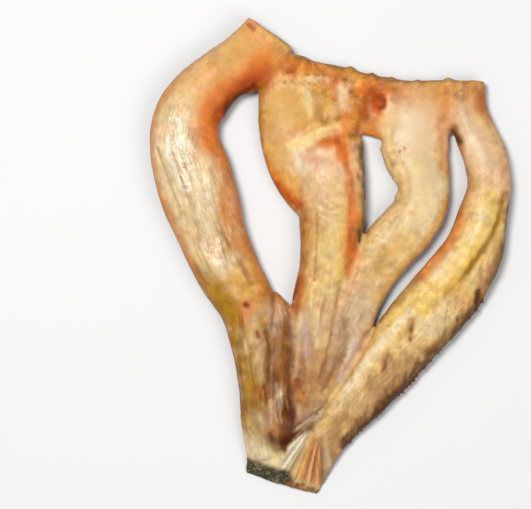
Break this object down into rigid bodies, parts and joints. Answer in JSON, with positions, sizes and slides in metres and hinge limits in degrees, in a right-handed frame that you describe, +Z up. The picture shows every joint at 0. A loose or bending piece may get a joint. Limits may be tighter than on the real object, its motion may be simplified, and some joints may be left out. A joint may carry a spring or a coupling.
{
  "type": "dried snakehead",
  "caption": "Headless dried snakehead, slit into spread strips of flesh that stay joined at a ragged shoulder collar and at the trimmed tail; lies flat, flesh side up.",
  "frame": {"origin": "middle of the fish's outline, on the table it lies on", "axes": "+Y from the tail to the shoulder cut, +X across the strips, +Z up, out of the flesh side"},
  "size_m": [0.2084, 0.2764, 0.0223],
  "materials": {
    "flesh": "dried oily flesh, semi-gloss"
  },
  "bodies": {
    "root": {"fish": "flesh"}
  },
  "joints": []
}
